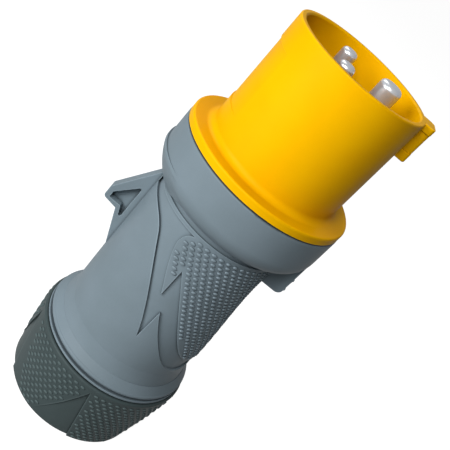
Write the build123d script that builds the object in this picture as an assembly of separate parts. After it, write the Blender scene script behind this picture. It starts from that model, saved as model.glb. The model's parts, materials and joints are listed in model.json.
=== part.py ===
from build123d import *
import math
import os

# Industrial plug, 16 A, two poles and earth, 44 mm shroud. Millimetres.
# It stands on its gland nut: +Z runs up the plug to the mouth, z = 0 is the nut's rear face,
# x = y = 0 is the nut's own axis and +X points at the key on the shroud.

# Heights of the stack, from the rear face up
nut_height = 26.8
lip_gap = 0.4              # open line between the nut's rim and the housing's lip
lip_thickness = 0.7
lip_groove_height = 0.8
neck_ring_height = 8.4
grip_length = 51.0
collar_height = 18.7
seal_thickness = 0.5
flange_thickness = 2.4
shroud_reach = 37.4

# Axes: the shroud and collar sit a little off the nut's axis, away from the key
front_shift = 1.4

# Yellow front. The shroud's radius is the standard size that the other radii are built out from
shroud_radius = 22.0
shroud_wall = 1.9
shroud_rim_round = 0.45
shroud_foot_round = 2.0
ledge_width = 1.7          # step in the bore that the pin carrier bears on
counterbore_depth = 2.8
spigot_wall = 2.5
spigot_length = 10.0
flange_overhang = 3.8      # beyond the spigot
flange_round = 0.6
lug_count = 3
lug_angle = 24.0
lug_start = 60.0
lug_height = 3.0
lug_reach = 1.3
lug_root = 0.5             # how far a lug's foot reaches into the spigot's wall
lug_setback = 0.8          # from the spigot's rear end to the lug
relief_depth = 0.35        # shallow flat on the shroud, opposite the key
relief_half_angle = 33.0
relief_top_drop = 8.2
relief_bottom_drop = 29.5

# Key on the shroud
key_length = 12.0
key_width = 6.6
key_reach = 3.25
key_corner = 1.3
key_head = 2.0             # full-width block at the mouth
key_foot = 2.9             # full-width block at the other end
key_waist_step = 0.4

# Pins, their carrier and what holds them
pin_circle_radius = 9.0
pin_spacing_angle = 120.0
earth_pin_radius = 3.5
pole_pin_radius = 2.5
pin_shank_step = 0.25      # the pin is thicker where it passes through the carrier
pin_shank_proud = 0.3      # and that shoulder stands just above the carrier's face
earth_tip_above_mouth = 1.3
pole_tip_below_mouth = 0.6
earth_tip_round = 1.5
pole_tip_round = 1.3
pin_collar_step = 1.6
pin_collar_thickness = 2.0
terminal_radius = 4.6
terminal_length = 14.0
wire_hole_radius = 2.5
wire_hole_depth = 10.5
carrier_drop = 0.6         # carrier's front face below the flange's front face
retainer_thickness = 3.5
retainer_inset = 1.3       # from the spigot's outside
retainer_edge = 0.6
slide_clear = 0.1

# Small screws
retainer_screw_count = 3
retainer_screw_inset = 4.5     # from the shroud's bore
retainer_screw_start = 60.0
screw_shank_radius = 1.5
screw_head_radius = 2.7
screw_head_height = 1.6
screw_head_round = 0.35
screw_tip_chamfer = 0.3
screw_slot_width = 0.7
screw_slot_depth = 0.8
screw_hole_spare = 1.0     # depth left under the screw's tip
retainer_screw_length = 9.0
terminal_screw_radius = 2.0
terminal_screw_proud = 0.4     # head's underside stands off the round terminal
terminal_screw_setback = 6.0   # up from the terminal's rear end
terminal_head_radius = 2.8
terminal_head_height = 2.0
wire_plate_length = 6.0
wire_plate_width = 2.6
wire_plate_thickness = 0.4

# Grey housing
seal_inset = 0.25              # seal's edge behind the flange's edge
collar_proud = 0.1             # collar's side beyond the flange's edge
collar_overhang = 5.9          # collar's side beyond the grip
collar_rounding = 6.8
collar_edge_round = 0.5
collar_bulge_shift = 1.56      # the collar swells towards the catch
collar_bulge_inset = 1.06
collar_bulge_drop = 9.6
collar_bulge_foot = 1.55       # the bulge's underside curve: its foot below the grip's top
collar_bulge_foot_inset = 7.4
collar_bulge_turn = 3.0        # and its middle above the grip's top
collar_bulge_turn_inset = 2.85
collar_bulge_rise = 8.1        # where it meets the upright side
collar_bulge_slant = 35.0      # its lower edge rises away from the catch
under_collar_groove_height = 2.3
under_collar_groove_depth = 0.5
grip_wall = 3.2
grip_top_shift = -0.35         # from the front axis
grip_top_slim = 0.4
grip_waist_drop = 18.0
grip_swell_drop = 36.0
grip_swell = 0.4
grip_swell_shift = -0.75
grip_foot_shift = -0.25
grip_foot_swell = 0.5
band_depth = 0.7               # smooth recessed band on both sides of the grip
neck_ring_reach = 3.9          # neck ring's widest place beyond the grip
neck_ring_taper = 0.45
neck_slope_reach = 1.45
neck_slope_drop = 4.5
neck_flare_height = 7.0        # hollow curve that runs up the grip's foot
neck_flare_sink = 0.05         # its upper end inside the grip's skin
neck_flare_shift = -0.2
neck_edge_height = 1.5
lip_reach = 0.2                # lip's edge beyond the neck ring's widest place
lip_groove_depth = 1.2
neck_thread_inset = 3.8
neck_tube_end = 6.6            # rear end of the neck, above the nut's rear face
neck_wall = 6.7
seal_shelf_height = 26.2
seal_shelf_thickness = 2.6
cable_way_radius = 10.4
wiring_space_drop = 4.1        # below the spigot's end
wiring_space_foot = 6.0        # above the neck ring

# Catch for the socket's lid, opposite the key
catch_root = 3.0               # depth of the fin's foot inside the grip's wall
catch_reach = 9.6
catch_thickness = 4.0
catch_nose_round = 1.2
catch_top_drop = 1.4
catch_nose_top_drop = 16.7
catch_nose_bottom_drop = 20.7
catch_heel_drop = 21.6
catch_heel_reach = 4.5
catch_foot_drop = 33.5
catch_pocket_depth = 2.6
catch_pocket_rim = 1.7
catch_pocket_corner = 0.45
catch_pocket_top = 8.8         # below the fin's top
catch_pocket_nose = 0.85       # between the pocket and the nose's upper and lower ends
catch_pocket_heel = 1.6
catch_pocket_foot = 3.4

# Tab below the collar, on the key's side
tab_width = 9.0
tab_drop = 8.0
tab_corner = 2.0

# Gland nut and what it presses
nut_rim_reach = 1.05           # nut's rim beyond the neck ring
nut_mid_inset = 1.1            # the taper's middle and foot, in from the rim
nut_foot_inset = 2.45
nut_rim_round = 0.7
nut_foot_round = 1.0
nut_floor = 5.0
nut_step_width = 3.6           # shelf under the neck's end, in from the thread
nut_step_height = 1.4
nut_mouth_radius = 10.0
nut_thread_clear = 0.15
nut_panel_count = 5
nut_panel_rim_depth = 0.95      # a panel is deepest at its tip
nut_panel_foot_depth = 0.5
nut_panel_tilt = 1.15           # makes it shallow at its curved edge and deep at its straight one
nut_panel_phase = 3.7          # first panel's tip, turned from -Y towards +X
nut_panel_top_drop = 2.4
nut_panel_lead = 27.0          # angle that the curved edge covers
nut_panel_trail = 11.6         # angle that the straight edge covers
nut_panel_bend = (0.51, 0.42)  # curved edge's middle: share of the lead across and of the tip's height
nut_panel_run = 1.0            # how far the panel's outline runs out below the foot
washer_thickness = 1.0
washer_inner_radius = 10.6
washer_clear = 0.2             # in from the nut's shelf
cage_length = 7.6
cage_inner_radius = 10.2
cage_throat_radius = 8.0
cage_nose = 1.2                # chamfer that the nut squeezes
cage_throat_height = 1.2
cage_slot_count = 8
cage_slot_width = 1.3
cage_slot_depth = 5.2
gland_seal_bore_radius = 6.5
gland_seal_chamfer = 0.6

# Heights worked out from the stack
nut_top = nut_height
lip_bottom = nut_top + lip_gap
lip_top = lip_bottom + lip_thickness
ring_bottom = lip_top + lip_groove_height
ring_top = ring_bottom + neck_ring_height
grip_top = ring_top + grip_length
collar_low = grip_top + under_collar_groove_height
collar_top = grip_top + collar_height
flange_bottom = collar_top + seal_thickness
flange_top = flange_bottom + flange_thickness
mouth = flange_top + shroud_reach
spigot_end = flange_bottom - spigot_length
carrier_front = flange_top - carrier_drop
ledge_height = spigot_end + counterbore_depth
retainer_back = spigot_end - retainer_thickness
terminal_end = retainer_back - terminal_length
terminal_screw_height = terminal_end + terminal_screw_setback
shelf_top = seal_shelf_height + seal_shelf_thickness
washer_top = nut_floor + washer_thickness
cage_top = washer_top + cage_length
front_axis = -front_shift

# Radii worked out from the shroud's, from the mouth down to the nut
shroud_bore_radius = shroud_radius - shroud_wall
counterbore_radius = shroud_bore_radius + ledge_width
spigot_radius = counterbore_radius + spigot_wall
flange_radius = spigot_radius + flange_overhang
retainer_screw_circle = shroud_bore_radius - retainer_screw_inset
retainer_radius = spigot_radius - retainer_inset
collar_radius = flange_radius + collar_proud
grip_radius = collar_radius - collar_overhang
neck_ring_radius = grip_radius + neck_ring_reach
neck_slope_radius = grip_radius + neck_slope_reach
grip_back = front_axis + grip_top_shift - grip_radius + grip_top_slim
lip_radius = neck_ring_radius + lip_reach
neck_thread_radius = lip_radius - neck_thread_inset
neck_bore_radius = neck_thread_radius - neck_wall
nut_rim_radius = neck_ring_radius + nut_rim_reach
nut_mid_radius = nut_rim_radius - nut_mid_inset
nut_foot_radius = nut_rim_radius - nut_foot_inset
nut_step_radius = neck_thread_radius - nut_step_width
washer_outer_radius = nut_step_radius - washer_clear
through = 1.0              # how far a cutter runs past what it cuts


def disc(radius, low, high, x=0.0, y=0.0):
    # Upright cylinder between two heights
    return Pos(x, y, low) * Cylinder(radius, high - low, align=(Align.CENTER, Align.CENTER, Align.MIN))


def ring(outer, inner, low, high, x=0.0):
    # Upright tube between two heights
    return disc(outer, low, high, x) - disc(inner, low - through, high + through, x)


def spin(edges, x=0.0):
    # Solid of revolution about the upright axis at x, from edges drawn in radius and height
    face = Plane.XZ * make_face(edges)
    return Pos(x, 0, 0) * revolve(face, Axis.Z, 360)


def outline(points):
    return Polyline(*points, close=True)


def polar(radius, angle, x=0.0):
    return x + radius * math.cos(math.radians(angle)), radius * math.sin(math.radians(angle))


def wedge(angle, span, radius, low, high, x=0.0):
    # Sector of a disc, centred on one angle
    start = polar(radius, angle - span / 2)
    end = polar(radius, angle + span / 2)
    arc = ThreePointArc(start, polar(radius, angle), end)
    face = make_face([Line((0, 0), start), arc, Line(end, (0, 0))])
    return Pos(x, 0, low) * extrude(face, high - low)


def shroud_key():
    # Key block with a narrower waist, its outer corners rounded
    inner = shroud_radius - shroud_wall / 2
    outer = shroud_radius + key_reach
    depth = outer - inner

    def block(width, low, high, corner):
        body = Pos((inner + outer) / 2, 0, (low + high) / 2) * Box(depth, width, high - low)
        edges = body.edges().filter_by(Axis.Z).sort_by(Axis.X)[-2:]
        return fillet(edges, corner)

    low = mouth - key_length
    waist = block(key_width - 2 * key_waist_step, low, mouth, key_corner)
    head = block(key_width, mouth - key_head, mouth, key_corner)
    foot = block(key_width, low, low + key_foot, key_corner)
    foot = fillet(foot.faces().sort_by(Axis.X)[-1].edges().sort_by(Axis.Z)[0], key_waist_step)
    return Pos(front_axis, 0, 0) * (waist + head + foot)


def shroud_relief():
    # Shallow cut on the side away from the key, fading out at both ends of its arc
    spread = relief_depth / (1 - math.cos(math.radians(relief_half_angle)))
    inner = shroud_radius + spread * math.cos(math.radians(relief_half_angle))
    outer = shroud_radius + 2 * spread
    low = mouth - relief_bottom_drop
    high = mouth - relief_top_drop
    band = ring(outer, inner, low, high, spread)
    near = wedge(180, 2.5 * relief_half_angle, outer, low, high)
    return Pos(front_axis, 0, 0) * (band & near)


def shroud_front():
    rim = shroud_rim_round
    foot = shroud_foot_round
    edge = flange_round
    # Outside, from the spigot's rear end up to the mouth
    edges = [
        Line((shroud_bore_radius, ledge_height), (counterbore_radius, ledge_height)),
        Line((counterbore_radius, ledge_height), (counterbore_radius, spigot_end)),
        Line((counterbore_radius, spigot_end), (spigot_radius, spigot_end)),
        Line((spigot_radius, spigot_end), (spigot_radius, flange_bottom)),
        Line((spigot_radius, flange_bottom), (flange_radius, flange_bottom)),
        Line((flange_radius, flange_bottom), (flange_radius, flange_top - edge)),
        RadiusArc((flange_radius, flange_top - edge), (flange_radius - edge, flange_top), -edge),
        Line((flange_radius - edge, flange_top), (shroud_radius + foot, flange_top)),
        RadiusArc((shroud_radius + foot, flange_top), (shroud_radius, flange_top + foot), foot),
        Line((shroud_radius, flange_top + foot), (shroud_radius, mouth - rim)),
        RadiusArc((shroud_radius, mouth - rim), (shroud_radius - rim, mouth), -rim),
        Line((shroud_radius - rim, mouth), (shroud_bore_radius + rim, mouth)),
        Line((shroud_bore_radius + rim, mouth), (shroud_bore_radius, mouth - rim)),
        Line((shroud_bore_radius, mouth - rim), (shroud_bore_radius, ledge_height)),
    ]
    body = spin(edges, front_axis) - shroud_relief() + shroud_key()
    # Bayonet lugs on the spigot
    low = spigot_end + lug_setback
    high = low + lug_height
    lugs = ring(spigot_radius + lug_reach, spigot_radius - lug_root, low, high, front_axis)
    for i in range(lug_count):
        angle = lug_start + i * 360 / lug_count
        body += lugs & wedge(angle, lug_angle, flange_radius, low - through, high + through, front_axis)
    # The bore stays clear of the key's root
    return body - disc(shroud_bore_radius, ledge_height + rim, mouth - rim, front_axis)


def flange_seal():
    inner = spigot_radius + slide_clear
    return ring(flange_radius - seal_inset, inner, collar_top, flange_bottom, front_axis)


# Pins: one earth pin in line with the key, two pole pins either side of it
pins = [
    {"name": "earth", "angle": 0.0, "radius": earth_pin_radius, "round": earth_tip_round,
     "tip": mouth + earth_tip_above_mouth},
    {"name": "line", "angle": pin_spacing_angle, "radius": pole_pin_radius, "round": pole_tip_round,
     "tip": mouth - pole_tip_below_mouth},
    {"name": "neutral", "angle": -pin_spacing_angle, "radius": pole_pin_radius, "round": pole_tip_round,
     "tip": mouth - pole_tip_below_mouth},
]


def at_pin(pin, shape):
    # Carries a shape modelled about the pin's own axis to its place, its +X pointing outwards
    return Pos(front_axis, 0, 0) * Rot(0, 0, pin["angle"]) * Pos(pin_circle_radius, 0, 0) * shape


def contact_pin(pin):
    radius = pin["radius"]
    shank = radius + pin_shank_step
    tip = pin["tip"]
    collar = radius + pin_collar_step
    low = spigot_end
    back = retainer_back - slide_clear
    shoulder = carrier_front + pin_shank_proud
    edges = [
        Line((0, terminal_end), (terminal_radius, terminal_end)),
        Line((terminal_radius, terminal_end), (terminal_radius, back)),
        Line((terminal_radius, back), (shank, back)),
        Line((shank, back), (shank, low)),
        Line((shank, low), (collar, low)),
        Line((collar, low), (collar, low + pin_collar_thickness)),
        Line((collar, low + pin_collar_thickness), (shank, low + pin_collar_thickness)),
        Line((shank, low + pin_collar_thickness), (shank, shoulder)),
        Line((shank, shoulder), (radius, shoulder)),
        Line((radius, shoulder), (radius, tip - pin["round"])),
        RadiusArc((radius, tip - pin["round"]), (radius - pin["round"], tip), -pin["round"]),
        Line((radius - pin["round"], tip), (0, tip)),
        Line((0, tip), (0, terminal_end)),
    ]
    body = spin(edges)
    body -= disc(wire_hole_radius, terminal_end - through, terminal_end + wire_hole_depth)
    bore = disc(terminal_screw_radius + slide_clear, 0, terminal_radius + through)
    return at_pin(pin, body - Pos(0, 0, terminal_screw_height) * Rot(0, 90, 0) * bore)


def slotted_screw(shank_radius, shank_length, head_radius, head_height):
    # Cheese-head screw along +Z, the underside of its head at the origin, its shank going down
    head = disc(head_radius, 0, head_height)
    head = fillet(head.edges().sort_by(Axis.Z)[-1], screw_head_round)
    shank = disc(shank_radius, -shank_length, 0)
    shank = chamfer(shank.edges().sort_by(Axis.Z)[0], screw_tip_chamfer)
    slot = Pos(0, 0, head_height) * Box(3 * head_radius, screw_slot_width, 2 * screw_slot_depth)
    return head + shank - slot


def terminal_screw(pin):
    # The head bears on the terminal's outside, the tip on the wire plate
    seat = terminal_radius + terminal_screw_proud
    length = seat - wire_hole_radius + wire_plate_thickness + slide_clear
    screw = slotted_screw(terminal_screw_radius, length, terminal_head_radius, terminal_head_height)
    return at_pin(pin, Pos(seat, 0, terminal_screw_height) * Rot(0, 90, 0) * screw)


def wire_plate(pin):
    # Thin leaf between the screw's tip and the wire
    outer = wire_hole_radius - wire_plate_thickness - slide_clear
    plate = Pos(outer - wire_plate_thickness / 2, 0, terminal_screw_height) * Box(
        wire_plate_thickness, wire_plate_width, wire_plate_length)
    return at_pin(pin, plate)


def pin_carrier():
    # Insulating insert that the pins pass through
    body = disc(shroud_bore_radius - slide_clear, spigot_end, carrier_front)
    body += disc(counterbore_radius - slide_clear, spigot_end, ledge_height - slide_clear)
    for pin in pins:
        x, y = polar(pin_circle_radius, pin["angle"])
        shank = pin["radius"] + pin_shank_step
        body -= disc(shank + slide_clear, spigot_end - through, carrier_front + through, x, y)
        collar = pin["radius"] + pin_collar_step + slide_clear
        body -= disc(collar, spigot_end - through, spigot_end + pin_collar_thickness + slide_clear, x, y)
    for i in range(retainer_screw_count):
        x, y = polar(retainer_screw_circle, retainer_screw_start + i * 360 / retainer_screw_count)
        depth = retainer_screw_length - retainer_thickness + screw_hole_spare
        body -= disc(screw_shank_radius + slide_clear / 2, spigot_end - through, spigot_end + depth, x, y)
    return Pos(front_axis, 0, 0) * body


def pin_retainer():
    # Rear plate, traps the pins' collars and pulls the carrier against its ledge
    body = disc(retainer_radius, retainer_back, spigot_end)
    body = chamfer(body.edges().sort_by(Axis.Z)[0], retainer_edge)
    for pin in pins:
        x, y = polar(pin_circle_radius, pin["angle"])
        hole = pin["radius"] + pin_shank_step + slide_clear
        body -= disc(hole, retainer_back - through, spigot_end + through, x, y)
    for i in range(retainer_screw_count):
        x, y = polar(retainer_screw_circle, retainer_screw_start + i * 360 / retainer_screw_count)
        body -= disc(screw_shank_radius + slide_clear, retainer_back - through, spigot_end + through, x, y)
    return Pos(front_axis, 0, 0) * body


def retainer_screw(index):
    x, y = polar(retainer_screw_circle, retainer_screw_start + index * 360 / retainer_screw_count, front_axis)
    screw = slotted_screw(screw_shank_radius, retainer_screw_length, screw_head_radius, screw_head_height)
    return Pos(x, y, retainer_back) * Rot(180, 0, 0) * screw


# Stations of the grip from its top down: height, axis and radius
grip_stations = [
    (grip_top, front_axis + grip_top_shift, grip_radius - grip_top_slim),
    (grip_top - grip_waist_drop, front_axis + grip_top_shift, grip_radius - grip_top_slim),
    (grip_top - grip_swell_drop, grip_swell_shift, grip_radius + grip_swell),
    (ring_top, grip_foot_shift, grip_radius + grip_foot_swell),
]


def grip_body(inset):
    # Smooth loft through the grip's circles, each taken in by the same amount
    faces = []
    for height, x, radius in grip_stations:
        faces.append(Plane((x, 0, height)) * Circle(radius - inset))
    return loft(faces)


def side_point(across, down):
    # Point on the grip's side view: across in grip radii, down in shares of the grip's length
    return front_axis + across * grip_radius, grip_top - down * grip_length


def side_curve(*points):
    return Spline(*[side_point(*p) for p in points])


def side_line(a, b):
    return Line(side_point(*a), side_point(*b))


def band_outline():
    # The recessed band runs from the catch down between two sharp points to the key's side
    return [
        side_line((-0.987, 0.025), (-0.987, 0.086)),
        side_curve((-0.987, 0.086), (-0.848, 0.102), (-0.659, 0.151), (-0.552, 0.216),
                   (-0.305, 0.400), (-0.040, 0.624), (0.083, 0.765)),
        side_line((0.083, 0.765), (0.099, 0.541)),
        side_curve((0.099, 0.541), (0.265, 0.663), (0.480, 0.794), (0.735, 0.914), (1.150, 0.953)),
        side_line((1.150, 0.953), (1.150, 0.910)),
        side_curve((1.150, 0.910), (0.794, 0.800), (0.489, 0.618), (0.211, 0.424), (-0.061, 0.239)),
        side_line((-0.061, 0.239), (-0.058, 0.443)),
        side_curve((-0.058, 0.443), (-0.215, 0.300), (-0.323, 0.182), (-0.352, 0.110),
                   (-0.296, 0.045), (-0.224, 0.025)),
        side_line((-0.224, 0.025), (-0.987, 0.025)),
    ]


def band_cut():
    face = Plane.XZ * make_face(band_outline())
    return extrude(face, 2 * collar_radius, both=True) - grip_body(band_depth)


def collar_body():
    # Collar with a large rounding underneath
    r = collar_radius
    turn = r - collar_rounding
    edge = collar_edge_round
    edges = [
        Line((0, collar_low), (turn, collar_low)),
        RadiusArc((turn, collar_low), (r, collar_low + collar_rounding), -collar_rounding),
        Line((r, collar_low + collar_rounding), (r, collar_top - edge)),
        RadiusArc((r, collar_top - edge), (r - edge, collar_top), -edge),
        Line((r - edge, collar_top), (0, collar_top)),
        Line((0, collar_top), (0, collar_low)),
    ]
    return spin(edges, front_axis)


def collar_bulge():
    # Swelling under the collar's lower half on the catch's side, fading into the round collar
    r = collar_radius - collar_bulge_inset
    low = grip_top - collar_bulge_foot
    high = collar_top - collar_bulge_drop
    foot = (r - collar_bulge_foot_inset, low)
    middle = (r - collar_bulge_turn_inset, grip_top + collar_bulge_turn)
    side = (r, grip_top + collar_bulge_rise)
    edges = [
        Line((0, low), foot),
        ThreePointArc(foot, middle, side),
        Line(side, (r, high)),
        Line((r, high), (0, high)),
        Line((0, high), (0, low)),
    ]
    body = spin(edges, front_axis - collar_bulge_shift)
    size = 4 * collar_radius
    below = Pos(0, 0, -size / 2) * Box(size, size, size)
    return body - Pos(grip_back, 0, low) * Rot(0, -collar_bulge_slant, 0) * below


def neck_body():
    # Flared ring below the grip, a groove, a thin lip, and the threaded neck inside the nut
    low = ring_bottom
    side = neck_ring_radius - neck_ring_taper
    widest = (neck_ring_radius, low + neck_edge_height / 3)
    slope_top = ring_top - neck_slope_drop
    edges = [
        Line((0, neck_tube_end), (neck_thread_radius, neck_tube_end)),
        Line((neck_thread_radius, neck_tube_end), (neck_thread_radius, lip_bottom)),
        Line((neck_thread_radius, lip_bottom), (lip_radius, lip_bottom)),
        Line((lip_radius, lip_bottom), (lip_radius, lip_top)),
        Line((lip_radius, lip_top), (lip_radius - lip_groove_depth, lip_top)),
        Line((lip_radius - lip_groove_depth, lip_top), (lip_radius - lip_groove_depth, low)),
        Line((lip_radius - lip_groove_depth, low), (side, low)),
        ThreePointArc((side, low), widest, (side, low + neck_edge_height)),
        Line((side, low + neck_edge_height), (neck_slope_radius, slope_top)),
        Line((neck_slope_radius, slope_top), (0, slope_top)),
        Line((0, slope_top), (0, neck_tube_end)),
    ]
    return spin(edges)


def neck_flare():
    # Hollow curve between the grip's foot and the ring's slope
    skin = grip_radius + grip_foot_swell - neck_flare_sink
    slope_top = ring_top - neck_slope_drop
    low = ring_bottom + neck_edge_height
    top = slope_top + neck_flare_height
    edges = [
        Line((0, low), (neck_slope_radius, low)),
        Line((neck_slope_radius, low), (neck_slope_radius, slope_top)),
        TangentArc((skin, top), (neck_slope_radius, slope_top), tangent=(0, -1)),
        Line((skin, top), (0, top)),
        Line((0, top), (0, low)),
    ]
    return spin(edges, neck_flare_shift)


def catch():
    # Nose that the socket's lid hooks over: a fin with a pocket in one flank
    root = grip_back + catch_root
    wall = grip_back
    nose = wall - catch_reach
    heel = wall - catch_heel_reach
    shape = [
        (root, grip_top - catch_top_drop),
        (wall, grip_top - catch_top_drop),
        (nose, grip_top - catch_nose_top_drop),
        (nose, grip_top - catch_nose_bottom_drop),
        (heel, grip_top - catch_heel_drop),
        (wall, grip_top - catch_foot_drop),
        (root, grip_top - catch_foot_drop),
    ]
    face = Plane.XZ * make_face(outline(shape))
    fin = extrude(face, catch_thickness / 2, both=True)
    fin = fillet(fin.edges().filter_by(Axis.Y).sort_by(Axis.X)[:2], catch_nose_round)
    inner = [
        (wall - catch_pocket_rim, grip_top - catch_top_drop - catch_pocket_top),
        (nose + catch_pocket_rim, grip_top - catch_nose_top_drop - catch_pocket_nose),
        (nose + catch_pocket_rim, grip_top - catch_nose_bottom_drop + catch_pocket_nose),
        (heel + catch_pocket_rim / 2, grip_top - catch_heel_drop + catch_pocket_heel),
        (wall - catch_pocket_rim, grip_top - catch_heel_drop - catch_pocket_foot),
    ]
    pocket = extrude(Plane.XZ * make_face(outline(inner)), catch_thickness)
    pocket = fillet(pocket.edges().filter_by(Axis.Y), catch_pocket_corner)
    return fin - Pos(0, -catch_thickness / 2 + catch_pocket_depth, 0) * pocket


def collar_tab():
    # The collar's wall carried down over the grip on the key's side
    low = grip_top - tab_drop
    high = collar_low + collar_rounding
    body = disc(collar_radius, low, high)
    inside = grip_radius - grip_wall / 2
    box = Pos((inside + collar_radius + through) / 2, 0, (low + high) / 2) * Box(
        collar_radius + through - inside, tab_width, high - low)
    body = body & box
    edge = body.faces().sort_by(Axis.Z)[0].edges().sort_by(Axis.X)[-1]
    return Pos(front_axis, 0, 0) * fillet(edge, tab_corner)


def housing_inside():
    # Hollow for the spigot, the bayonet's groove and entries, the wiring space and the gland's bore
    wiring_top = spigot_end - wiring_space_drop
    spigot = disc(spigot_radius + 2 * slide_clear, wiring_top, collar_top + through, front_axis)
    lug_radius = spigot_radius + lug_reach + 2 * slide_clear
    low = spigot_end + lug_setback - 2 * slide_clear
    groove = disc(lug_radius, low, low + lug_height + 4 * slide_clear, front_axis)
    void = spigot + groove
    for i in range(lug_count):
        angle = lug_start + i * 360 / lug_count + 1.6 * lug_angle
        void += wedge(angle, 1.2 * lug_angle, lug_radius, low, collar_top + through, front_axis)
    top_radius = grip_radius - grip_top_slim - grip_wall
    inner = [
        Plane((front_axis + grip_top_shift, 0, wiring_top + through)) * Circle(top_radius),
        Plane((grip_foot_shift, 0, ring_top + wiring_space_foot)) * Circle(grip_radius - grip_wall),
        Plane((0, 0, shelf_top)) * Circle(neck_bore_radius),
    ]
    void += loft(inner, ruled=True)
    void += disc(neck_bore_radius, neck_tube_end - through, seal_shelf_height)
    void += disc(cable_way_radius, neck_tube_end, shelf_top + through)
    return void


def handle_housing():
    groove_radius = grip_radius - grip_top_slim - under_collar_groove_depth
    body = grip_body(0) - band_cut()
    body += disc(groove_radius, grip_top - through, collar_low + through, front_axis + grip_top_shift)
    body = body + neck_flare() + neck_body() + collar_body()
    body = body + collar_bulge() + catch() + collar_tab()
    return body - housing_inside()


def nut_outside(rim_inset, foot_inset):
    # Outer form of the nut, taken in at both ends: rounded rim, slightly swelling taper, rounded foot
    rim = nut_rim_round
    foot = nut_foot_round
    high = nut_top - rim_inset
    mid = nut_top / 2
    rim_radius = nut_rim_radius - rim_inset
    mid_radius = nut_mid_radius - (rim_inset + foot_inset) / 2
    foot_radius = nut_foot_radius - foot_inset
    edges = [
        Line((0, 0), (foot_radius - foot, 0)),
        RadiusArc((foot_radius - foot, 0), (foot_radius, foot), -foot),
        ThreePointArc((foot_radius, foot), (mid_radius, mid), (rim_radius, high - rim)),
        RadiusArc((rim_radius, high - rim), (rim_radius - rim, high), -rim),
        Line((rim_radius - rim, high), (0, high)),
        Line((0, high), (0, 0)),
    ]
    return spin(edges)


def nut_panel_prism():
    # Three-cornered panel seen square on: a tip near the rim, one curved edge and one straight edge
    r = nut_foot_radius
    tip = (0, nut_top - nut_panel_top_drop)
    lead = (-r * math.sin(math.radians(nut_panel_lead)), -nut_panel_run)
    trail = (r * math.sin(math.radians(nut_panel_trail)), -nut_panel_run)
    bend = (nut_panel_bend[0] * lead[0], nut_panel_bend[1] * tip[1])
    edges = [ThreePointArc(tip, bend, lead), Line(lead, trail), Line(trail, tip)]
    return extrude(Plane.XZ * make_face(edges), 2 * nut_rim_radius)


def gland_nut():
    body = nut_outside(0, 0)
    floor = nut_outside(nut_panel_rim_depth, nut_panel_foot_depth)
    cut = nut_panel_prism() - Pos(-nut_panel_tilt, 0, 0) * floor
    for i in range(nut_panel_count):
        body -= Rot(0, 0, nut_panel_phase + i * 360 / nut_panel_count) * cut
    body -= disc(nut_mouth_radius, -through, nut_floor + through)
    body -= disc(nut_step_radius, nut_floor, nut_top)
    body -= disc(neck_thread_radius + nut_thread_clear, nut_floor + nut_step_height, nut_top + through)
    return body


def friction_washer():
    return ring(washer_outer_radius, washer_inner_radius, nut_floor, washer_top)


def clamp_cage():
    # Slotted collet that the nut squeezes onto the cable
    outer = neck_bore_radius - slide_clear
    nose = washer_top + cage_nose
    throat = nose + cage_throat_height
    edges = [
        Line((cage_inner_radius, washer_top), (outer - cage_nose, washer_top)),
        Line((outer - cage_nose, washer_top), (outer, nose)),
        Line((outer, nose), (outer, cage_top)),
        Line((outer, cage_top), (cage_inner_radius, cage_top)),
        Line((cage_inner_radius, cage_top), (cage_throat_radius, throat)),
        Line((cage_throat_radius, throat), (cage_throat_radius, nose)),
        Line((cage_throat_radius, nose), (cage_inner_radius, washer_top)),
    ]
    body = spin(edges)
    for i in range(cage_slot_count):
        slot = Pos(neck_bore_radius / 2, 0, washer_top + (cage_slot_depth - through) / 2) * Box(
            neck_bore_radius * 1.2, cage_slot_width, cage_slot_depth + through)
        body -= Rot(0, 0, i * 360 / cage_slot_count) * slot
    return body


def gland_seal():
    # Rubber bush, its bore chamfered at both ends
    body = ring(neck_bore_radius - slide_clear, gland_seal_bore_radius, cage_top, seal_shelf_height)
    rims = body.edges().filter_by(GeomType.CIRCLE).sort_by(SortBy.RADIUS)[:2]
    return chamfer(rims, gland_seal_chamfer)


def all_parts():
    parts = {
        "shroud_front": shroud_front(),
        "flange_seal": flange_seal(),
        "pin_carrier": pin_carrier(),
        "pin_retainer": pin_retainer(),
        "handle_housing": handle_housing(),
        "gland_nut": gland_nut(),
        "friction_washer": friction_washer(),
        "clamp_cage": clamp_cage(),
        "gland_seal": gland_seal(),
    }
    for pin in pins:
        parts[pin["name"] + "_pin"] = contact_pin(pin)
        parts[pin["name"] + "_terminal_screw"] = terminal_screw(pin)
        parts[pin["name"] + "_wire_plate"] = wire_plate(pin)
    for i in range(retainer_screw_count):
        parts["retainer_screw_" + str(i + 1)] = retainer_screw(i)
    return parts


os.makedirs("parts", exist_ok=True)
for name, shape in all_parts().items():
    export_step(shape, "parts/" + name + ".step")
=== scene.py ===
import json
import math
import bpy
import numpy as np
from mathutils import Matrix, Vector
from mathutils.bvhtree import BVHTree


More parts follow.
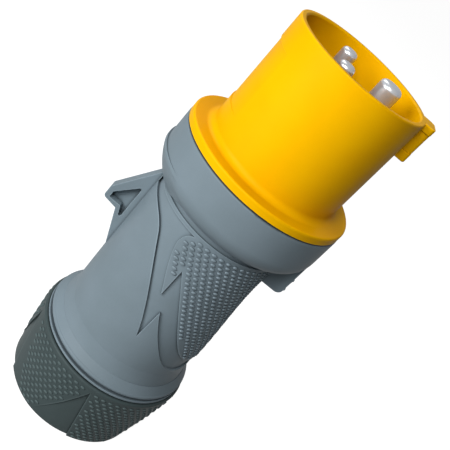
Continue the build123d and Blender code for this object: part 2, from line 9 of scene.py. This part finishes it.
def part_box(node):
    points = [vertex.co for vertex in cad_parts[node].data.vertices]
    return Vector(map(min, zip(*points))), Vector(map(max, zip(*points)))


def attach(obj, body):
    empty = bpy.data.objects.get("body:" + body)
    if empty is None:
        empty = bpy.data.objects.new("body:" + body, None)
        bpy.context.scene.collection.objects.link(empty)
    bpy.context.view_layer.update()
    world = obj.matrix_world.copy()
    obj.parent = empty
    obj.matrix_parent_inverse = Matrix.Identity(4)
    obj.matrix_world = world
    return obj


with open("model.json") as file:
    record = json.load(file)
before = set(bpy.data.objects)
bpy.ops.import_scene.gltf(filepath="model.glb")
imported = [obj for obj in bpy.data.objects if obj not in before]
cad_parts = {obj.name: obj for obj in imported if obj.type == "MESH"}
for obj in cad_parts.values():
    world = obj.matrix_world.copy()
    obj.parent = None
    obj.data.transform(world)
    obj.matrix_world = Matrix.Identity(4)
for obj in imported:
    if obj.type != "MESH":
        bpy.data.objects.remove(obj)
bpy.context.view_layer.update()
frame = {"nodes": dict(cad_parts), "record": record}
mm = 0.001  # every size below is in millimetres, and this makes it metres
print("frame loaded:", len(frame["nodes"]), "nodes")


# Meshes

def meshPiece(name, points, faces, material):
    # points is an n by 3 array, faces a list of index rows; the piece rides with the plug
    mesh = bpy.data.meshes.new(name)
    mesh.from_pydata((np.asarray(points, float) * mm).tolist(), [], faces)
    mesh.polygons.foreach_set("use_smooth", [True] * len(mesh.polygons))
    mesh.materials.append(material)
    mesh.update()
    piece = bpy.data.objects.new(name, mesh)
    bpy.context.scene.collection.objects.link(piece)
    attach(piece, "root")
    return piece


def surfaceTree(node):
    # Search tree of a CAD node's surface, so that studs can sit on it
    mesh = frame["nodes"][node].data
    points = np.zeros(len(mesh.vertices) * 3)
    mesh.vertices.foreach_get("co", points)
    corners = [list(p.vertices) for p in mesh.polygons]
    return BVHTree.FromPolygons((points.reshape(-1, 3) / mm).tolist(), corners)


def onSurface(tree, angle, height, axisX, start=45.0):
    # Where a level ray, starting outside, first meets the surface on its way to the upright axis at
    # axisX: the point, its outward normal and its distance from the axis
    out = Vector((math.cos(math.radians(angle)), math.sin(math.radians(angle)), 0))
    place, normal, _, _ = tree.ray_cast(Vector((axisX, 0, height)) + out * start, -out)
    if place is None:
        return None
    if normal.dot(out) < 0:
        normal = -normal
    return place, normal, math.hypot(place.x - axisX, place.y)


def flatThere(tree, angle, height, axisX, radius, look):
    # True where the surface keeps its radius all round a stud's place, so that no edge is near
    turn = math.degrees(look["clearAcross"] / radius)
    for around in np.arange(look["tries"]) * 2 * math.pi / look["tries"]:
        hit = onSurface(tree, angle + math.cos(around) * turn,
                        height + math.sin(around) * look["clearUp"], axisX)
        if hit is None or abs(hit[2] - radius) > look["flat"]:
            return False
    return True


def ovalStuds(name, seats, look, material):
    # Every stud is one dome: height = tall * sqrt(1 - r^2) over an oval of half axes long and high,
    # r falling from 1 at its foot to 0 at its top, with rings of points at some r between. The foot
    # is let into the surface by root and closed underneath. All studs are worked out as one array.
    sides = look["sides"]
    rings = np.array(look["rings"])
    around = np.arange(sides) * 2 * np.pi / sides
    across = look["long"] * rings[:, None] * np.cos(around)
    upwards = look["high"] * rings[:, None] * np.sin(around)
    lift = look["tall"] * np.sqrt(1 - rings**2)[:, None] + 0 * around
    dome = np.stack([across, upwards, lift], -1).reshape(-1, 3)
    dome[:sides, 2] = -look["root"]
    dome = np.vstack([dome, [0, 0, look["tall"]], [0, 0, -look["root"]]])
    top, bottom = len(dome) - 2, len(dome) - 1

    # Each dome's own directions: level along the surface, up along it, and out of it
    place = np.array([s[0] for s in seats])
    normal = np.array([s[1] for s in seats])
    level = np.cross([0.0, 0.0, 1.0], normal)
    level /= np.linalg.norm(level, axis=1)[:, None]
    turned = np.stack([level, np.cross(normal, level), normal], 1)
    points = place[:, None, :] + dome @ turned

    # Faces of one dome, then the same with each dome's first index added
    i = np.arange(sides)
    j = (i + 1) % sides
    ring = sides * np.arange(len(rings))[:, None]
    wall = np.stack([ring[:-1] + i, ring[:-1] + j, ring[1:] + j, ring[1:] + i], -1).reshape(-1, 4)
    cap = np.stack([ring[-1] + i, ring[-1] + j, np.full(sides, top)], 1)
    foot = np.stack([j, i, np.full(sides, bottom)], 1)
    first = (np.arange(len(seats)) * len(dome))[:, None, None]
    faces = (wall + first).reshape(-1, 4).tolist()
    faces += (np.vstack([cap, foot]) + first).reshape(-1, 3).tolist()
    return meshPiece(name, points.reshape(-1, 3), faces, material)


# Materials

def linear(colour):
    # sRGB hex to the linear colour that the shaders take
    parts = [int(colour[i:i + 2], 16) / 255 for i in (1, 3, 5)]
    return [p / 12.92 if p <= 0.04045 else ((p + 0.055) / 1.055) ** 2.4 for p in parts] + [1.0]


def addNode(tree, kind, settings=None, links=None):
    # One node with its settings, by socket or by property, and the outputs that feed it
    node = tree.nodes.new(kind)
    for key, value in (settings or {}).items():
        if isinstance(key, int) or key in node.inputs:
            node.inputs[key].default_value = value
        else:
            setattr(node, key, value)
    for key, source in (links or {}).items():
        tree.links.new(source, node.inputs[key])
    return node


def emptyMaterial(name):
    material = bpy.data.materials.new(name)
    material.use_nodes = True
    material.node_tree.nodes.clear()
    return material, material.node_tree


# Openness, 1 being fully open: where the painted highlight on an edge begins and where it is full,
# and where the painted shade in a fold is at its darkest and where it ends
paintedLightOpenness = {"highlightFrom": 0.9, "highlightTo": 0.45, "foldFrom": 0.4, "foldTo": 0.92, "rays": 8}


def paintedCrestAndFold(tree, look, colour):
    # Colour painted paler along outward edges, a painted highlight, and painted darker in folds, a
    # painted shade. A crest is where rays sent into the solid soon leave it again, a fold is where
    # rays sent outwards are soon stopped.
    crest = addNode(tree, "ShaderNodeAmbientOcclusion",
                    {"samples": paintedLightOpenness["rays"], "inside": True, "only_local": True,
                     "Distance": look["crest"] * mm})
    fold = addNode(tree, "ShaderNodeAmbientOcclusion",
                   {"samples": paintedLightOpenness["rays"], "Distance": look["fold"] * mm})
    # painted highlight: the colour is made paler where the solid is thin, along crests and on studs
    edgeHighlight = addNode(tree, "ShaderNodeMapRange",
                  {"From Min": paintedLightOpenness["highlightFrom"], "From Max": paintedLightOpenness["highlightTo"],
                   "To Min": 1.0, "To Max": look["edgeHighlight"]}, {"Value": crest.outputs["AO"]})
    # painted shade: the colour is made darker where surfaces close in around a point
    shade = addNode(tree, "ShaderNodeMapRange",
                    {"From Min": paintedLightOpenness["foldFrom"], "From Max": paintedLightOpenness["foldTo"],
                     "To Min": look["shade"], "To Max": 1.0}, {"Value": fold.outputs["AO"]})
    both = addNode(tree, "ShaderNodeMath", {"operation": "MULTIPLY"},
                   {0: edgeHighlight.outputs["Result"], 1: shade.outputs["Result"]})
    return addNode(tree, "ShaderNodeVectorMath", {"operation": "SCALE"},
                   {"Vector": colour, "Scale": both.outputs[0]}).outputs["Vector"]


moulding = {"ior": 1.53, "cloudFrom": 0.3, "cloudTo": 0.7, "glossSpread": 0.05,
            "grainDetail": 3.0, "cloudDetail": 2.0, "edgeRays": 6}


def mouldedNylon(name, look):
    # Glass-filled polyamide out of a spark-eroded mould: satin, a fine even grain, faint clouding
    # where the melt flowed, and edges that the mould leaves softly rounded
    material, tree = emptyMaterial(name)
    place = addNode(tree, "ShaderNodeTexCoord").outputs["Object"]
    grain = addNode(tree, "ShaderNodeTexNoise",
                    {"Scale": 1 / (look["grain"] * mm), "Detail": moulding["grainDetail"]},
                    {"Vector": place})
    cloud = addNode(tree, "ShaderNodeTexNoise",
                    {"Scale": 1 / (look["cloud"] * mm), "Detail": moulding["cloudDetail"]},
                    {"Vector": place})
    tone = addNode(tree, "ShaderNodeValToRGB", {}, {"Fac": cloud.outputs["Fac"]})
    tone.color_ramp.elements[0].position = moulding["cloudFrom"]
    tone.color_ramp.elements[0].color = linear(look["deep"])
    tone.color_ramp.elements[1].position = moulding["cloudTo"]
    tone.color_ramp.elements[1].color = linear(look["colour"])
    speck = addNode(tree, "ShaderNodeMapRange",
                    {"To Min": 1 - look["speck"], "To Max": 1 + look["speck"]},
                    {"Value": grain.outputs["Fac"]})
    colour = addNode(tree, "ShaderNodeMix",
                     {"data_type": "RGBA", "blend_type": "MULTIPLY", "Factor": 1.0},
                     {6: tone.outputs["Color"], 7: speck.outputs["Result"]})
    gloss = addNode(tree, "ShaderNodeMapRange",
                    {"To Min": look["roughness"] - moulding["glossSpread"],
                     "To Max": look["roughness"] + moulding["glossSpread"]},
                    {"Value": grain.outputs["Fac"]})
    edge = addNode(tree, "ShaderNodeBevel",
                   {"samples": moulding["edgeRays"], "Radius": look["edge"] * mm})
    bump = addNode(tree, "ShaderNodeBump", {"Strength": 1.0, "Distance": look["relief"] * mm},
                   {"Height": grain.outputs["Fac"], "Normal": edge.outputs["Normal"]})
    # The base colour carries the painted edge highlight and the painted fold shade.
    shader = addNode(tree, "ShaderNodeBsdfPrincipled",
                     {"IOR": moulding["ior"], "Specular IOR Level": look["shine"]},
                     {"Base Color": paintedCrestAndFold(tree, look, colour.outputs[2]),
                      "Roughness": gloss.outputs["Result"], "Normal": bump.outputs["Normal"]})
    addNode(tree, "ShaderNodeOutputMaterial", {}, {"Surface": shader.outputs["BSDF"]})
    return material


def mouldedRubber(name, look):
    # Black rubber pressed in a mould: dull, with a fine dusty bloom that lightens it unevenly
    material, tree = emptyMaterial(name)
    place = addNode(tree, "ShaderNodeTexCoord").outputs["Object"]
    bloom = addNode(tree, "ShaderNodeTexNoise",
                    {"Scale": 1 / (look["bloom"] * mm), "Detail": look["bloomDetail"]},
                    {"Vector": place})
    tone = addNode(tree, "ShaderNodeValToRGB", {}, {"Fac": bloom.outputs["Fac"]})
    tone.color_ramp.elements[0].color = linear(look["colour"])
    tone.color_ramp.elements[1].color = linear(look["pale"])
    bump = addNode(tree, "ShaderNodeBump", {"Strength": 1.0, "Distance": look["relief"] * mm},
                   {"Height": bloom.outputs["Fac"]})
    shader = addNode(tree, "ShaderNodeBsdfPrincipled",
                     {"Roughness": look["roughness"], "IOR": look["ior"]},
                     {"Base Color": tone.outputs["Color"], "Normal": bump.outputs["Normal"]})
    addNode(tree, "ShaderNodeOutputMaterial", {}, {"Surface": shader.outputs["BSDF"]})
    return material


# levelScale draws the tool's marks out round the axis until they are nearly level rings
turning = {"levelScale": 0.04, "glossSpread": 0.06, "ringDetail": 2.0, "hazeDetail": 2.0,
           "edgeRays": 4}


def turnedMetal(name, look):
    # Turned on a lathe, then plated: bright, with fine rings that spread its highlights
    material, tree = emptyMaterial(name)
    place = addNode(tree, "ShaderNodeTexCoord").outputs["Object"]
    stretch = addNode(tree, "ShaderNodeMapping",
                      {"Scale": (turning["levelScale"], turning["levelScale"], 1.0)},
                      {"Vector": place})
    rings = addNode(tree, "ShaderNodeTexNoise",
                    {"Scale": 1 / (look["rings"] * mm), "Detail": turning["ringDetail"]},
                    {"Vector": stretch.outputs["Vector"]})
    haze = addNode(tree, "ShaderNodeTexNoise",
                   {"Scale": 1 / (look["haze"] * mm), "Detail": turning["hazeDetail"]},
                   {"Vector": place})
    tone = addNode(tree, "ShaderNodeValToRGB", {}, {"Fac": haze.outputs["Fac"]})
    tone.color_ramp.elements[0].color = linear(look["deep"])
    tone.color_ramp.elements[1].color = linear(look["colour"])
    gloss = addNode(tree, "ShaderNodeMapRange",
                    {"To Min": look["roughness"] - turning["glossSpread"],
                     "To Max": look["roughness"] + turning["glossSpread"]},
                    {"Value": haze.outputs["Fac"]})
    edge = addNode(tree, "ShaderNodeBevel",
                   {"samples": turning["edgeRays"], "Radius": look["edge"] * mm})
    bump = addNode(tree, "ShaderNodeBump", {"Strength": 1.0, "Distance": look["relief"] * mm},
                   {"Height": rings.outputs["Fac"], "Normal": edge.outputs["Normal"]})
    shader = addNode(tree, "ShaderNodeBsdfPrincipled", {"Metallic": look["metal"]},
                     {"Base Color": tone.outputs["Color"], "Roughness": gloss.outputs["Result"],
                      "Normal": bump.outputs["Normal"]})
    addNode(tree, "ShaderNodeOutputMaterial", {}, {"Surface": shader.outputs["BSDF"]})
    return material


# The front, the handle and the nut are nylon coloured right through. crest and fold, here and for
# the inside parts below, are how far the painted highlight on edges and the painted shade in folds
# reach; the two settings after them say how much paler and darker the colour is painted.
# Grain is drawn at 0.7 mm, coarser than the real 0.1 mm, so that it shows at all at this size.
# The yellow's fold reaches 12 mm, so its painted shade also darkens the inside of the shroud and
# the flange round its foot.
yellowLook = {"colour": "#FFC000", "deep": "#FCB900", "grain": 0.7, "cloud": 14.0, "speck": 0.015,
              "roughness": 0.42, "relief": 0.006, "edge": 0.2, "shine": 0.04,
              "crest": 0.5, "fold": 12.0, "edgeHighlight": 1.3, "shade": 0.72}
greyLook = {"colour": "#7D8C95", "deep": "#78878F", "grain": 0.7, "cloud": 12.0, "speck": 0.03,
            "roughness": 0.44, "relief": 0.008, "edge": 0.2, "shine": 0.12,
            "crest": 0.5, "fold": 1.2, "edgeHighlight": 1.4, "shade": 0.38}
# The nut's strong painted highlight on crests makes its studs stand out paler, and its painted
# shade darkens the gap under the ring.
nutLook = {"colour": "#455152", "deep": "#414D4E", "grain": 0.7, "cloud": 10.0, "speck": 0.03,
           "roughness": 0.44, "relief": 0.008, "edge": 0.12, "shine": 0.12,
           "crest": 0.6, "fold": 0.8, "edgeHighlight": 1.75, "shade": 0.42}

# Inside: the insert that holds the pins, the clamp cage, and a washer of smooth, waxy white acetal
insertLook = {"colour": "#3A3D40", "deep": "#35383B", "grain": 0.6, "cloud": 9.0, "speck": 0.03,
              "roughness": 0.5, "relief": 0.006, "edge": 0.2, "shine": 0.4,
              "crest": 0.3, "fold": 1.0, "edgeHighlight": 1.2, "shade": 0.6}
cageLook = {"colour": "#1F2123", "deep": "#1A1C1E", "grain": 0.6, "cloud": 9.0, "speck": 0.03,
            "roughness": 0.5, "relief": 0.006, "edge": 0.15, "shine": 0.4,
            "crest": 0.3, "fold": 1.0, "edgeHighlight": 1.3, "shade": 0.6}
washerLook = {"colour": "#E4E3DC", "deep": "#DEDDD6", "grain": 0.6, "cloud": 9.0, "speck": 0.01,
              "roughness": 0.3, "relief": 0.003, "edge": 0.1, "shine": 0.5,
              "crest": 0.3, "fold": 0.8, "edgeHighlight": 1.05, "shade": 0.7}
sealLook = {"colour": "#0E0F10", "pale": "#1C1E20", "bloom": 3.0, "bloomDetail": 4.0,
            "relief": 0.01, "roughness": 0.7, "ior": 1.52}

# The pins' nickel is satin with a milky bloom, so that 0.7 of it is metal and the rest matt white
nickelLook = {"colour": "#E6EAF0", "deep": "#D6DAE0", "rings": 0.35, "haze": 4.0,
              "relief": 0.002, "roughness": 0.3, "edge": 0.25, "metal": 0.7}
zincLook = {"colour": "#CBD0D4", "deep": "#B4BAC0", "rings": 0.3, "haze": 2.0,
            "relief": 0.004, "roughness": 0.32, "edge": 0.1, "metal": 1.0}
springLook = {"colour": "#BDBDB9", "deep": "#ABABA8", "rings": 0.3, "haze": 2.0,
              "relief": 0.004, "roughness": 0.3, "edge": 0.1, "metal": 1.0}

yellowNylon = mouldedNylon("yellowNylon", yellowLook)
greyNylon = mouldedNylon("greyNylon", greyLook)
darkNylon = mouldedNylon("darkNylon", nutLook)
insertNylon = mouldedNylon("insertNylon", insertLook)
cageNylon = mouldedNylon("cageNylon", cageLook)
whiteAcetal = mouldedNylon("whiteAcetal", washerLook)
blackRubber = mouldedRubber("blackRubber", sealLook)
nickelPlatedBrass = turnedMetal("nickelPlatedBrass", nickelLook)
zincPlatedSteel = turnedMetal("zincPlatedSteel", zincLook)
springSteel = turnedMetal("springSteel", springLook)

finishOfSlot = {"yellow_shell": yellowNylon, "grey_shell": greyNylon, "nut_shell": darkNylon,
                "carrier_insert": insertNylon, "black_nylon": cageNylon,
                "white_acetal": whiteAcetal, "black_rubber": blackRubber,
                "nickel_brass": nickelPlatedBrass, "zinc_steel": zincPlatedSteel,
                "spring_steel": springSteel}
for part in frame["record"]["subparts"]:
    node = frame["nodes"][part["node"]]
    for place in node.material_slots:
        place.material = finishOfSlot[part["material_slot"]]
print("materials set:", len(finishOfSlot))


# Surfaces that carry studs, and the height and axis that the studs are placed from

housingTree = surfaceTree("handle_housing")
nutTree = surfaceTree("gland_nut")
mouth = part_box("shroud_front")[1].z / mm
frontAxis = (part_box("flange_seal")[0].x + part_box("flange_seal")[1].x) / 2 / mm


# Studs on the grip's two pads. Rows are given as drops below the shroud's mouth. Each row starts a
# third of the spacing further on than the one above, so that the studs line up slantwise.

gripStuds = {"turn": 6.5, "firstTurn": -97.2, "slant": 3, "lead": 2, "perRow": 20,
             "rowStep": 1.4, "firstRow": 60.73, "lastRow": 105.0,
             "long": 0.92, "high": 0.52, "tall": 0.5, "root": 0.1,
             "sides": 14, "rings": [1.0, 0.86, 0.5],
             "clearAcross": 1.25, "clearUp": 0.7, "flat": 0.35, "tries": 16, "margin": 0.035}
# The smooth band's two edges beside the pad, seen square from the side: across in grip radii from
# the front axis, down in shares of the grip's length. The upper one ends above the lower's notch.
gripSquare = {"radius": 22.3, "top": 88.1, "length": 51.0}
upperEdge = {"down": [0.025, 0.045, 0.110, 0.182, 0.300, 0.443],
             "across": [-0.224, -0.296, -0.352, -0.323, -0.215, -0.058]}
lowerEdge = {"down": [0.239, 0.424, 0.618, 0.800, 0.910],
             "across": [-0.061, 0.211, 0.489, 0.794, 1.150]}


def pastEdge(edge, across, down, margin):
    return across > np.interp(down, edge["down"], edge["across"]) + margin


def onPad(place, margin):
    # True on the key's side of the band, clear of both of its edges
    across = (place.x - frontAxis) / gripSquare["radius"]
    down = (gripSquare["top"] - place.z) / gripSquare["length"]
    notchTop, notchAcross = lowerEdge["down"][0], lowerEdge["across"][0]
    pastUpper = down < upperEdge["down"][-1] and pastEdge(upperEdge, across, down, margin)
    if down < notchTop - margin:
        return pastUpper
    pastLower = pastEdge(lowerEdge, across, down, margin)
    return pastLower or (pastUpper and across < notchAcross - margin)


def gripSeats(look, side):
    # side is 1 for the pad that the camera sees and -1 for its mirror image, which meet at turn 0
    seats = []
    rows = int((look["lastRow"] - look["firstRow"]) / look["rowStep"]) + 1
    for row in range(rows):
        height = mouth - look["firstRow"] - row * look["rowStep"]
        shift = (row % look["slant"] - look["slant"] * look["lead"]) * look["turn"] / look["slant"]
        for step in range(look["perRow"]):
            angle = look["firstTurn"] + shift + step * look["turn"]
            hit = onSurface(housingTree, side * angle, height, frontAxis)
            if angle > 0 or hit is None or not onPad(hit[0], look["margin"]):
                continue
            if flatThere(housingTree, side * angle, height, frontAxis, hit[2], look):
                seats.append((hit[0], hit[1]))
    return seats


nearSeats = gripSeats(gripStuds, 1)
farSeats = gripSeats(gripStuds, -1)
ovalStuds("grip_studs_front", nearSeats, gripStuds, greyNylon)
ovalStuds("grip_studs_back", farSeats, gripStuds, greyNylon)
print("grip studs:", len(nearSeats), len(farSeats))


# Studs on the nut, between its smooth panels. Every second row is shifted by half the spacing.

nutStuds = {"perTurn": 66, "firstTurn": -103.4,
            "rowStep": 1.63, "firstRow": 122.6, "lastRow": 145.5,
            "long": 0.9, "high": 0.45, "tall": 0.34, "root": 0.1,
            "sides": 14, "rings": [1.0, 0.86, 0.5],
            "clearAcross": 1.15, "clearUp": 0.9, "flat": 0.12, "tries": 16, "sunk": 0.14}
# The nut's side swells a little: height and radius of its foot, middle and rim, joined by a curve.
# What lies deeper than sunk below it is a panel.
nutSide = np.array([[1.0, 24.8], [13.4, 26.15], [26.1, 27.25]])
nutSideCurve = np.polyfit(nutSide[:, 0], nutSide[:, 1], 2)
# One field, between two turns, leaves a smooth sweep at its lower left: drop and turn of its edge
nutSweep = {"from": -158.8, "to": -86.0,
            "drop": [121.0, 125.4, 130.6, 137.4, 141.6, 146.0],
            "turn": [-148.3, -146.3, -143.5, -137.5, -135.0, -128.5]}


def inSweep(angle, drop):
    inField = nutSweep["from"] < angle < nutSweep["to"]
    return inField and angle < np.interp(drop, nutSweep["drop"], nutSweep["turn"])


def nutSeats(look):
    seats = []
    spacing = 360 / look["perTurn"]
    rows = int((look["lastRow"] - look["firstRow"]) / look["rowStep"]) + 1
    for row in range(rows):
        drop = look["firstRow"] + row * look["rowStep"]
        height = mouth - drop
        for step in range(look["perTurn"]):
            turned = look["firstTurn"] + (step + 0.5 * (row % 2)) * spacing
            angle = (turned + 180) % 360 - 180
            hit = onSurface(nutTree, angle, height, 0.0)
            if hit is None or np.polyval(nutSideCurve, height) - hit[2] > look["sunk"]:
                continue
            if inSweep(angle, drop):
                continue
            if flatThere(nutTree, angle, height, 0.0, hit[2], look):
                seats.append((hit[0], hit[1]))
    return seats


fieldSeats = nutSeats(nutStuds)
ovalStuds("nut_studs", fieldSeats, nutStuds, darkNylon)
print("nut studs:", len(fieldSeats))


# Camera: where it stands, which way it looks and how far it is turned, in millimetres and degrees

cameraView = {"place": (-30.77, -195.70, 185.25),
              "heading": 9.07, "downTilt": 26.91, "turn": 43.46,
              "lens": 59.06, "sensor": 36.0, "nearest": 10, "farthest": 50000}


def makeCamera(look):
    heading, tilt, turn = [math.radians(look[k]) for k in ("heading", "downTilt", "turn")]
    ahead = Vector((math.cos(tilt) * math.sin(heading), math.cos(tilt) * math.cos(heading),
                    -math.sin(tilt)))
    level = Vector((math.cos(heading), -math.sin(heading), 0))
    above = level.cross(ahead)
    right = math.cos(turn) * level + math.sin(turn) * above
    up = -math.sin(turn) * level + math.cos(turn) * above
    data = bpy.data.cameras.new("camera")
    data.lens = look["lens"]
    data.sensor_width = look["sensor"]
    data.clip_start = look["nearest"] * mm
    data.clip_end = look["farthest"] * mm
    camera = bpy.data.objects.new("camera", data)
    camera.matrix_world = Matrix((right, up, -ahead)).transposed().to_4x4()
    camera.location = Vector(look["place"]) * mm
    bpy.context.scene.collection.objects.link(camera)
    bpy.context.scene.camera = camera


makeCamera(cameraView)
print("camera set")


# Floor, surroundings and lamps

# The floor's colour lights the plug from below; seen and glow only make the board that is looked at
floorLook = {"half": 8000.0, "colour": "#8C8C8C", "seen": 0.3, "glow": 0.96}
worldLook = {"light": 0.04, "seen": 1.0, "colour": "#FFFFFF"}
glossShare = 0.45  # how much of the white surroundings shows in glossy faces
lampTarget = Vector((0, 0, 75))
lamps = [
    {"name": "sideLamp", "angle": -143, "rise": 13, "away": 800, "wide": 400, "watts": 4.3},
    {"name": "keyLamp", "angle": -112, "rise": 38, "away": 800, "wide": 400, "watts": 3.5},
    {"name": "rearLamp", "angle": 120, "rise": 44, "away": 900, "wide": 500, "watts": 1.5},
]


def seenDirectly(tree):
    # 1 for rays from the camera and through clear things, a share of it for gloss, and 0 for the
    # light that falls on the plug
    path = addNode(tree, "ShaderNodeLightPath")
    gloss = addNode(tree, "ShaderNodeMath", {"operation": "MULTIPLY", 1: glossShare},
                    {0: path.outputs["Is Glossy Ray"]})
    first = addNode(tree, "ShaderNodeMath", {"operation": "MAXIMUM"},
                    {0: path.outputs["Is Camera Ray"], 1: gloss.outputs[0]})
    return addNode(tree, "ShaderNodeMath", {"operation": "MAXIMUM"},
                   {0: first.outputs[0], 1: path.outputs["Is Transmission Ray"]}).outputs[0]


def makeFloor(look):
    # Pale matt board; what the camera sees of it is lifted to white, and the shadow stays
    material, tree = emptyMaterial("paleBoard")
    seen = seenDirectly(tree)
    tone = addNode(tree, "ShaderNodeMix", {"data_type": "RGBA", 6: linear(look["colour"]),
                                           7: [look["seen"]] * 3 + [1.0]}, {0: seen})
    matt = addNode(tree, "ShaderNodeBsdfDiffuse", {}, {"Color": tone.outputs[2]})
    lift = addNode(tree, "ShaderNodeMath", {"operation": "MULTIPLY", 1: look["glow"]}, {0: seen})
    glow = addNode(tree, "ShaderNodeEmission", {"Color": (1, 1, 1, 1)},
                   {"Strength": lift.outputs[0]})
    both = addNode(tree, "ShaderNodeAddShader", {}, {0: matt.outputs[0], 1: glow.outputs[0]})
    addNode(tree, "ShaderNodeOutputMaterial", {}, {"Surface": both.outputs[0]})
    half = look["half"] * mm
    corners = [(-half, -half, 0), (half, -half, 0), (half, half, 0), (-half, half, 0)]
    mesh = bpy.data.meshes.new("floor")
    mesh.from_pydata(corners, [], [(0, 1, 2, 3)])
    mesh.materials.append(material)
    floor = bpy.data.objects.new("floor", mesh)
    bpy.context.scene.collection.objects.link(floor)


def makeWorld(look):
    # White where it is seen, and only a faint light from all round on the plug
    world = bpy.data.worlds.new("studio")
    world.use_nodes = True
    tree = world.node_tree
    tree.nodes.clear()
    strength = addNode(tree, "ShaderNodeMapRange",
                       {"To Min": look["light"], "To Max": look["seen"]},
                       {"Value": seenDirectly(tree)})
    sky = addNode(tree, "ShaderNodeBackground", {"Color": linear(look["colour"])},
                  {"Strength": strength.outputs["Result"]})
    addNode(tree, "ShaderNodeOutputWorld", {}, {"Surface": sky.outputs[0]})
    bpy.context.scene.world = world


def makeLamp(look):
    # A soft round lamp that faces the target from its turn about the upright axis and its rise
    data = bpy.data.lights.new(look["name"], "AREA")
    data.shape = "DISK"
    data.size = look["wide"] * mm
    data.energy = look["watts"]
    lamp = bpy.data.objects.new(look["name"], data)
    angle, rise = math.radians(look["angle"]), math.radians(look["rise"])
    towards = Vector((math.cos(rise) * math.cos(angle), math.cos(rise) * math.sin(angle),
                      math.sin(rise)))
    lamp.location = (lampTarget + towards * look["away"]) * mm
    lamp.rotation_mode = "QUATERNION"
    lamp.rotation_quaternion = towards.to_track_quat("Z", "Y")
    bpy.context.scene.collection.objects.link(lamp)


makeFloor(floorLook)
makeWorld(worldLook)
for lamp in lamps:
    makeLamp(lamp)
bpy.context.scene.view_settings.view_transform = "Standard"
print("stage set:", len(lamps), "lamps")
